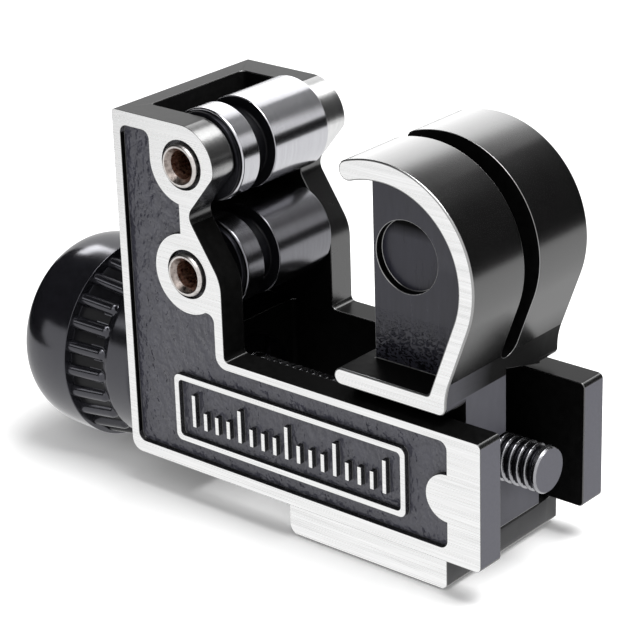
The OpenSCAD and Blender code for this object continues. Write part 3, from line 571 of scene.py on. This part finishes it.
def roller(node, name, metal):
    # a drum with one flare groove, turning to painted shade in near black from a little below its lips
    v = rollerLook
    low, high = sizeOf(node)
    centre, r = (low + high) / 2, (high[0] - low[0]) / 2
    start, end = low[1], high[1]
    a = start + v["frontLand"]
    b = a + v["groove"]
    root = r - v["grooveDepth"]
    shape = softProfile([[v["bore"], start], [r, start, v["endRound"]], [r, a, v["lipRound"]],
                         [root, a + v["draft"], v["rootRound"]], [root, b - v["draft"], v["rootRound"]],
                         [r, b, v["lipRound"]], [r, end, v["endRound"]], [v["bore"], end]])
    verts, faces = lathe(shape, centre, "y", v["segments"])
    along = (shape[:, 1] + np.roll(shape[:, 1], -1)) / 2
    depth = (shape[:, 0] + np.roll(shape[:, 0], -1)) / 2
    dark = (along > a - within["wall"]) & (along < b + within["wall"]) & (depth < r - v["lipRound"])
    kinds = np.repeat(dark.astype(int), v["segments"])
    addPiece(name, verts, faces, [metal, "grooveShadeBlack"], node, [node], kinds)


for node, (name, metal) in rollers.items():
    roller(node, name, metal)

# corners are [inside the lip or outside the bore, in from the end, rounding]; sharp is in degrees
rivetLook = {"bore": 1.8, "shank": 2.5, "lip": 3.1, "seatDepth": 0.9, "seatRise": 0.02, "seatRound": 0.1,
             "lipCorners": [(0, 0.3, 0.2), (0.22, 0, 0.2), (0.5, 0.02, 0.15), (0.72, 0.3, 0.2)],
             "boreCorners": [(0.2, 0.8, 0.3), (0, 1.9, 0.5)], "ridges": 26, "ridgeHeight": 0.09,
             "ridgeStart": 1.1, "ridgeFade": 0.4, "ridgeSlack": 0.25, "ridgedShare": 0.6,
             "funnelLip": 0.5, "funnelDepth": 1.5, "arcSteps": 4, "segments": 208, "sharp": 40}


def rivet(node):
    # a turned tube with rolled ends; inside, the radius dips by a cosine of the angle, once per ridge
    v = rivetLook
    low, high = sizeOf(node)
    centre = (low + high) / 2
    end = high[1]
    seat = frameLook["halfWidth"] - v["seatDepth"]
    lip, bore = v["lip"], v["bore"]
    half = [[v["shank"], 0], [v["shank"], seat], [lip, seat + v["seatRise"], v["seatRound"]]]
    half += [[lip - inward, end - back, soft] for inward, back, soft in v["lipCorners"]]
    half += [[bore + outward, end - back, soft] for outward, back, soft in v["boreCorners"]]
    half += [[bore, 0]]
    shape = softProfile(half, v["arcSteps"])
    mirrored = shape[::-1] * [1, -1]
    shape = np.concatenate([shape, mirrored[1:-1]])
    n = v["segments"]
    t = np.linspace(0, 2 * np.pi, n, endpoint=False)
    inside = np.clip((end - v["ridgeStart"] - np.abs(shape[:, 1])) / v["ridgeFade"], 0, 1)
    inside = inside * (shape[:, 0] < bore + v["ridgeSlack"])
    dip = inside[:, None] * v["ridgeHeight"] * (0.5 + 0.5 * np.cos(v["ridges"] * t))
    radius = shape[:, 0][:, None] - dip
    pts = np.stack([centre[0] + radius * np.sin(t), np.repeat(shape[:, 1][:, None], n, 1),
                    centre[2] + radius * np.cos(t)], axis=-1)
    verts = pts.reshape(-1, 3) * mm + origin
    faces = gridFaces(len(shape), n, wrapRows=True)
    ridged = (inside + np.roll(inside, -1)) > v["ridgedShare"]
    ringR, ringY = ((shape[:, k] + np.roll(shape[:, k], -1)) / 2 for k in (0, 1))
    funnel = (ringR < lip - v["funnelLip"]) & (np.abs(ringY) > end - v["funnelDepth"]) & ~ridged
    kinds = np.repeat(np.where(ridged, 1, np.where(funnel, 2, 0)), n)
    addPiece(node.replace("_roller_rivet", "Rivet"), verts, faces, ["rivetNickel", "boreCopper", "funnelTin"],
             "frame", [node], kinds, v["sharp"])


for node in ("upper_roller_rivet", "lower_roller_rivet"):
    rivet(node)

spacerLook = {"bore": 3.45, "rim": 0.18, "segments": 128}


def spacer(node):
    # a plain turned ring with soft rims
    v = spacerLook
    low, high = sizeOf(node)
    centre, r = (low + high) / 2, (high[0] - low[0]) / 2
    shape = softProfile([[v["bore"], low[1]], [r, low[1], v["rim"]], [r, high[1], v["rim"]],
                         [v["bore"], high[1]]])
    verts, faces = lathe(shape, centre, "y", v["segments"])
    addPiece(node.replace("_roller_spacer", "Spacer"), verts, faces, ["washerSteel"], "frame", [node])


for node in ("upper_roller_spacer", "lower_roller_spacer"):
    spacer(node)
print("stage: rollers, rivets and spacers made")

# cutting wheel
wheelLook = {"bore": 2.55, "hub": 4.6, "hubRound": 0.15, "cone": 0.5, "coneRound": 0.3, "disc": 1.5,
             "edge": 2.3, "edgeRound": 0.1, "segments": 192}


def cuttingWheel():
    # one side's turned profile, from hub over disc to the sharp edge, and its mirror image
    v = wheelLook
    low, high = sizeOf("cutting_wheel")
    centre, r = (low + high) / 2, (high[2] - low[2]) / 2
    mid, hub = centre[1], (high[1] - low[1]) / 2
    half = [[v["bore"], hub], [v["hub"], hub, v["hubRound"]],
            [v["hub"] + v["cone"], v["disc"] / 2, v["coneRound"]],
            [r - v["edge"], v["disc"] / 2, v["edgeRound"]], [r, 0.0]]
    shape = softProfile(half)
    shape = np.concatenate([shape, shape[::-1][1:] * [1, -1]])
    shape[:, 1] += mid
    verts, faces = lathe(shape, centre, "y", v["segments"])
    addPiece("cuttingWheel", verts, faces, ["wheelSteel"], "wheel", ["cutting_wheel"])


cuttingWheel()

# feed screw
screwLook = {"axis": 9.85, "pitch": 1.25, "crest": 3.3, "root": 2.6, "threadFrom": 13.2, "runIn": 1.5,
             "fineFrom": 40.0, "fineSteps": 22, "coarseSteps": 11, "crestShare": 0.14, "flankShare": 0.3,
             "phase": 0.25, "endGroove": 0.62, "grooveFade": 0.12, "chamfer": 0.28, "chamferSlope": 0.8,
             "tipLength": 0.03, "tang": 3.0, "tangRound": 0.3, "tangEnd": -2.35, "flat": 0.9,
             "collar": 5.2, "collarRound": 0.15, "collarEnd": -0.85, "journal": 3.6, "journalRound": 0.2,
             "journalEnd": 12.2, "neckEnd": 13.15, "darkShare": 0.6, "segments": 72, "sharp": 50}


def feedScrew():
    # radius = root plus a trapezoid wave of x minus the lead times the turn, limited by the end
    # chamfer; the last groove fades out at a chosen angle
    v = screwLook
    low, high = sizeOf("feed_screw")
    end, start = high[0], low[0]
    p, crest, root = v["pitch"], v["crest"], v["root"]
    fine = np.arange(v["fineFrom"], end, p / v["fineSteps"])
    coarse = np.arange(v["threadFrom"], v["fineFrom"], p / v["coarseSteps"])
    xs = np.concatenate([coarse, fine, [end - v["tipLength"], end]])
    t = np.linspace(0, 2 * np.pi, v["segments"], endpoint=False)
    x, a = xs[:, None], t[None, :]
    turns = (end - x) / p + a / (2 * np.pi) + v["phase"]
    k = np.floor(turns)
    wave = np.abs(turns - k - 0.5) * 2
    rise = np.clip((wave - (1 - v["crestShare"] - 2 * v["flankShare"])) / (2 * v["flankShare"]), 0, 1)
    fade = np.clip((k + 0.5 - a / (2 * np.pi) - v["endGroove"]) / v["grooveFade"] + 0.5, 0, 1)
    fade = np.minimum(fade, np.clip((x - v["threadFrom"]) / v["runIn"], 0, 1))
    radius = crest - (crest - root) * (1 - rise) * fade
    limit = crest - v["chamfer"] * np.clip(1 - (end - x) / v["chamfer"], 0, 1) * v["chamferSlope"]
    radius = np.minimum(radius, limit)
    c = v["axis"]
    thread = np.stack([np.repeat(x, len(t), 1), -radius * np.sin(a), c + radius * np.cos(a)], axis=-1)
    plain = softProfile([[0, start], [v["tang"], start, v["tangRound"]], [v["tang"], v["tangEnd"]],
                         [v["collar"], v["tangEnd"], v["collarRound"]],
                         [v["collar"], v["collarEnd"], v["collarRound"]], [v["journal"], v["collarEnd"]],
                         [v["journal"], v["journalEnd"], v["journalRound"]], [root, v["journalEnd"]],
                         [root, v["neckEnd"]], [crest, v["threadFrom"]]])
    r, s = plain[:, 0][:, None], plain[:, 1][:, None]
    shank = np.stack([np.repeat(s, len(t), 1), -r * np.sin(a), c + r * np.cos(a)], axis=-1)
    # the tang's flat, on its underside, that the knob's insert grips
    onTang = (s < v["tangEnd"] + within["wall"]) & (r < v["tang"] + within["wall"])
    under = c - v["tang"] + v["flat"]
    shank[..., 2] = np.where(onTang, np.maximum(shank[..., 2], under), shank[..., 2])
    tip = np.stack([np.full(len(t), end), 0 * t, c + 0 * t], axis=-1)[None]
    pts = np.concatenate([shank, thread, tip])
    verts = pts.reshape(-1, 3) * mm + origin
    # deep parts of the thread are dark as painted shade, and the end face is grey
    bare = np.full((len(shank), len(t)), crest)
    deep = np.concatenate([bare, radius]) < root + v["darkShare"] * (crest - root)
    kinds = deep.astype(int).reshape(-1)
    kinds[-len(t):] = 2
    addPiece("feedScrew", verts, gridFaces(len(pts), len(t)), ["screwSteel", "threadRootShade", "satinGrey"],
             "knob", ["feed_screw"], kinds, v["sharp"])


feedScrew()
print("stage: wheel and screw made")

# knob
# the outside from the frame's side: face, smooth band, step down to the valley between the bars, lip
knobLook = {"axis": 9.85, "faceX": -0.6, "lipX": -12.0, "lipOverlap": 0.02, "face": 12.2, "band": 13.5,
            "bandRound": 0.8, "bandLength": 4.6, "bandFall": 1.2, "stepLength": 5.8, "stepRound": 1.0,
            "barrel": 13.9, "valley": 13.18, "arcSteps": 8, "denseFrom": 1.2, "rows": 84,
            "bars": 24, "barRadius": 1.0, "barHigh": 13.83, "barLow": 13.03, "barEndX": -6.635,
            "perBar": 26, "turn": -2.0, "hollowEnd": -6.0, "spigot": 13.68, "spigotX": -15.5,
            "spigotWall": 1.8, "well": 11.4, "wellX": -4.7, "hub": 6.55, "seat": 4.97, "seatX": -2.4,
            "collarWell": 6.8, "collarWellX": -2.35, "sharp": 45}


def knobBody():
    # radius = the turned profile of the barrel, or the top of the nearest grip bar where that is higher
    v = knobLook
    n = v["bars"] * v["perBar"]
    a = np.linspace(0, 2 * np.pi, n, endpoint=False)[None, :]
    face, lip = v["faceX"], v["lipX"]
    outer = softProfile([[v["face"], face, 0], [v["band"], face, v["bandRound"]],
                         [v["band"], face - v["bandLength"], v["bandFall"]],
                         [v["valley"], face - v["stepLength"], v["stepRound"]],
                         [v["barrel"], lip + v["lipOverlap"]]], v["arcSteps"])
    dense = np.linspace(face - v["denseFrom"], lip + v["lipOverlap"], v["rows"])
    keep = outer[outer[:, 1] > face - v["denseFrom"] + within["face"]]
    profile = np.concatenate([keep, np.stack([np.interp(-dense, -outer[:, 1], outer[:, 0]), dense], 1)])
    r, x = profile[:, 0][:, None], profile[:, 1][:, None]
    share = (x - lip) / (v["barEndX"] - lip)
    axisR = v["barHigh"] + (v["barLow"] - v["barHigh"]) * share
    step = 2 * np.pi / v["bars"]
    turned = a + math.radians(v["turn"])
    off = (turned + step / 2) % step - step / 2
    past = np.maximum(x - v["barEndX"], 0)
    inside = v["barRadius"] ** 2 - (axisR * np.sin(off)) ** 2 - past ** 2
    bar = np.where(inside > 0, axisR * np.cos(off) + np.sqrt(np.maximum(inside, 0)), 0)
    radius = np.maximum(r, bar)
    c = v["axis"]

    def ring(rr, xx):
        rr = rr * np.ones_like(a)
        return np.stack([xx * np.ones_like(a), -rr * np.sin(a), c + rr * np.cos(a)], axis=-1)

    shell = ring(radius, x)
    inner = [(v["spigot"], lip), (v["spigot"], v["spigotX"]), (v["spigot"] - v["spigotWall"], v["spigotX"]),
             (v["well"], v["wellX"]), (v["hub"], v["wellX"]), (v["hub"], lip), (v["seat"], lip),
             (v["seat"], v["seatX"]), (v["collarWell"], v["collarWellX"]), (v["collarWell"], face)]
    back = [ring(np.array([[q]]), np.array([[s]])) for q, s in inner]
    pts = np.concatenate([shell] + back)
    verts = pts.reshape(-1, 3) * mm + origin
    # the hollows between the bars are darker and duller than the bars, as painted shade
    hollow = (inside <= 0) & (x < v["hollowEnd"]) & (x > lip + within["face"])
    kinds = np.concatenate([hollow[:-1] & hollow[1:], np.zeros((len(pts) - len(hollow) + 1, n), dtype=bool)])
    kinds = (kinds & np.roll(kinds, -1, axis=1)).astype(int).reshape(-1)
    addPiece("knobBody", verts, gridFaces(len(pts), n, wrapRows=True), ["knobGripShadedBelow", "knobGapShade"], "knob",
             ["knob_body"], kinds, v["sharp"])


knobBody()

capLook = {"radius": 15.3, "length": 11.9, "wall": 1.6, "domeShare": 0.98, "domeR": 0.3, "domeL": 0.63,
           "lipRound": 0.5, "arcSteps": 6, "rows": 60, "segments": 192, "sharp": 40}


def knobCap():
    # radius = full radius times cos(a) to one power, place = depth times sin(a) to another
    v = capLook
    low, high = sizeOf("knob_end_cap")
    end, lip = low[0], high[0]
    dome = v["domeShare"] * v["length"]
    a = np.linspace(0, np.pi / 2, v["rows"])
    big, small = v["radius"], v["radius"] - v["wall"]
    outerR = big * np.cos(a) ** v["domeR"]
    outerR[-1] = 0
    outerX = end + dome - dome * np.sin(a) ** v["domeL"]
    innerR = small * np.cos(a) ** v["domeR"]
    innerR[-1] = 0
    innerX = end + dome - (dome - v["wall"]) * np.sin(a) ** v["domeL"]
    lipCurve = softProfile([[small, lip], [big, lip, v["lipRound"]], [big, outerX[0]]], v["arcSteps"])[:-1]
    inner = np.stack([innerR, innerX], 1)[::-1]
    shape = np.concatenate([lipCurve, np.stack([outerR, outerX], 1), inner])
    verts, faces = lathe(shape, (0, 0, knobLook["axis"]), "x", v["segments"])
    addPiece("knobCap", verts, faces, ["knobPlastic"], "knob", ["knob_end_cap"], None,
             v["sharp"])


knobCap()
print("stage: knob made")

# pieces that keep their CAD mesh
carried = {"screw_bush": "bushBronze", "thrust_washer": "washerSteel", "retaining_washer": "washerSteel",
           "retaining_ring": "washerSteel", "upper_roller_sleeve": "screwSteel",
           "lower_roller_sleeve": "screwSteel", "wheel_axle_screw": "wheelSteel",
           "knob_insert": "insertBrass", "knob_lock_washer": "washerSteel", "knob_screw": "screwSteel"}
for node, name in carried.items():
    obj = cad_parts[node]
    for place in obj.material_slots:
        place.material = finishes[name]

# floor, light and world
# lamps and cards stand about the middle; a card's sheet dips no lower than cardDip under it
studio = {"floorHalf": 3000, "floorTone": 1.0, "floorRough": 0.9, "floorGlow": 0.16, "floorMirror": 1.0,
          "ambient": 0.38, "middle": (30, 0, 30), "cardDip": 35, "cardTone": 0.005, "cardRows": 9,
          "cardColumns": 13, "cardDistance": 700}


def raySum(nodes, links, shares):
    # the sum of the ray types, each times its share
    path = nodes.new("ShaderNodeLightPath")
    total = None
    for name, share in shares:
        part = nodes.new("ShaderNodeMath")
        part.operation = "MULTIPLY_ADD"
        links.new(path.outputs[name], part.inputs[0])
        part.inputs[1].default_value = share
        part.inputs[2].default_value = 0.0
        if total:
            links.new(total, part.inputs[2])
        total = part.outputs[0]
    return total


def makeFloor(v):
    half = v["floorHalf"] * mm
    low = sizeOf("knob_end_cap")[0][2] * mm + origin[2]
    mesh = bpy.data.meshes.new("floor")
    corners = [(-half, -half, low), (half, -half, low), (half, half, low), (-half, half, low)]
    mesh.from_pydata(corners, [], [(0, 1, 2, 3)])
    mat = bpy.data.materials.new("paleFloor")
    mat.use_nodes = True
    nodes, links = mat.node_tree.nodes, mat.node_tree.links
    shader = nodes["Principled BSDF"]
    socket(shader, "Base Color", (v["floorTone"],) * 3 + (1,))
    socket(shader, "Roughness", v["floorRough"])
    socket(shader, "Specular IOR Level", 0.0)
    glow = nodes.new("ShaderNodeEmission")
    links.new(raySum(nodes, links, (("Is Camera Ray", v["floorGlow"]), ("Is Glossy Ray", v["floorMirror"]),
                                    ("Is Transmission Ray", v["floorGlow"]))), glow.inputs["Strength"])
    both = nodes.new("ShaderNodeAddShader")
    links.new(shader.outputs["BSDF"], both.inputs[0])
    links.new(glow.outputs["Emission"], both.inputs[1])
    # polish mirrors the floor without its shadows
    choice = nodes.new("ShaderNodeMixShader")
    links.new(raySum(nodes, links, (("Is Glossy Ray", 1),)), choice.inputs[0])
    links.new(both.outputs["Shader"], choice.inputs[1])
    links.new(glow.outputs["Emission"], choice.inputs[2])
    links.new(choice.outputs["Shader"], nodes["Material Output"].inputs["Surface"])
    mesh.materials.append(mat)
    floor = bpy.data.objects.new("floor", mesh)
    bpy.context.collection.objects.link(floor)


def softbox(name, azimuth, elevation, distance, width, height, radiance, only=None, mirror=False):
    # a rectangle light on a sphere about the object, facing it; power follows from its radiance.
    # azimuth 0 stands behind the object, 90 at its open end, -90 at its knob. A mirror box shows in
    # polish and gloss alone, and may be kept to some pieces
    az, el = math.radians(azimuth), math.radians(elevation)
    away = Vector((math.sin(az) * math.cos(el), math.cos(az) * math.cos(el), math.sin(el)))
    data = bpy.data.lights.new(name, "AREA")
    data.shape = "RECTANGLE"
    data.size, data.size_y = width * mm, height * mm
    data.energy = radiance * math.pi * width * height * mm * mm
    light = bpy.data.objects.new(name, data)
    light.location = Vector(origin + np.array(studio["middle"]) * mm) + away * distance * mm
    light.rotation_euler = away.to_track_quat("Z", "Y").to_euler()
    light.visible_camera = False
    if mirror:
        light.visible_diffuse = False
        light.visible_transmission = False
    if only:
        group = bpy.data.collections.new(name + "Pieces")
        for piece in only:
            group.objects.link(bpy.data.objects[piece])
        light.light_linking.receiver_collection = group
    bpy.context.collection.objects.link(light)
    return light


def blackCard(name, azimuths, elevations):
    # a curved sheet on a sphere about the object, between two azimuths and two elevations, seen only
    # in reflections; where the sphere dips under the floor, the sheet lies on it
    v = studio
    az = np.radians(np.linspace(*azimuths, v["cardColumns"]))[None, :]
    el = np.radians(np.linspace(*elevations, v["cardRows"]))[:, None]
    pts = np.stack([np.sin(az) * np.cos(el), np.cos(az) * np.cos(el), np.sin(el) * np.ones_like(az)], axis=-1)
    reach = np.minimum(v["cardDistance"], v["cardDip"] / np.maximum(-pts[..., 2:], 1e-6))
    verts = ((pts * reach).reshape(-1, 3) + v["middle"]) * mm + origin
    mesh = bpy.data.meshes.new(name)
    mesh.from_pydata(verts.tolist(), [], gridFaces(v["cardRows"], v["cardColumns"], False, False).tolist())
    mat = bpy.data.materials.get("cardBlack") or bpy.data.materials.new("cardBlack")
    mat.use_nodes = True
    shader = mat.node_tree.nodes["Principled BSDF"]
    socket(shader, "Base Color", (v["cardTone"],) * 3 + (1,))
    socket(shader, "Specular IOR Level", 0.0)
    mesh.materials.append(mat)
    card = bpy.data.objects.new(name, mesh)
    bpy.context.collection.objects.link(card)
    card.visible_camera = False
    card.visible_diffuse = False
    card.visible_transmission = False
    card.visible_shadow = False
    card.visible_volume_scatter = False


def makeWorld(v):
    world = bpy.data.worlds.new("studioAir")
    world.use_nodes = True
    nodes, links = world.node_tree.nodes, world.node_tree.links
    shade = nodes["Background"]
    shade.inputs["Color"].default_value = (1, 1, 1, 1)
    span = nodes.new("ShaderNodeMapRange")
    span.inputs["To Min"].default_value = v["ambient"]
    span.inputs["To Max"].default_value = 1.0
    links.new(raySum(nodes, links, (("Is Camera Ray", 1), ("Is Glossy Ray", 1), ("Is Transmission Ray", 1))),
              span.inputs["Value"])
    links.new(span.outputs["Result"], shade.inputs["Strength"])
    bpy.context.scene.world = world


makeFloor(studio)
makeWorld(studio)
slidePieces = ["slideCasting", "cuttingWheel"]
rollerPieces = ["upperRoller", "lowerRoller"]
softbox("topBox", 60, 72, 600, 420, 420, 10.0)
softbox("frontBox", 160, 50, 700, 400, 400, 1.0)
softbox("jawSky", -30, 19, 500, 420, 350, 2.1, slidePieces, True)
softbox("heelFill", 96, 12, 500, 300, 300, 3.0, ["slideCasting"]).visible_glossy = False
softbox("columnSky", 4, 45, 500, 230, 260, 1.8, ["frameCasting"], True)
softbox("rollerSky", -30, 32, 500, 400, 340, 1.7, rollerPieces, True)
softbox("rollerStrip", 42, 21, 520, 60, 210, 0.9, rollerPieces, True)
softbox("rollerFill", 33, 30, 600, 500, 500, 0.2, rollerPieces, True)
softbox("knobSky", -67, 32, 500, 100, 70, 7.0, ["knobBody", "knobCap"], True)
softbox("gripSky", -139, 30, 500, 170, 120, 2.0, ["knobBody"], True)
blackCard("cardRight", (4, 62), (-8, 41))
blackCard("cardTop", (-60, 62), (41, 80))
blackCard("cardLeft", (-175, -125), (8, 75))
blackCard("cardKnob", (-125, -66), (-14, 75))
bpy.context.scene.view_settings.view_transform = "Standard"
print("stage: studio made")
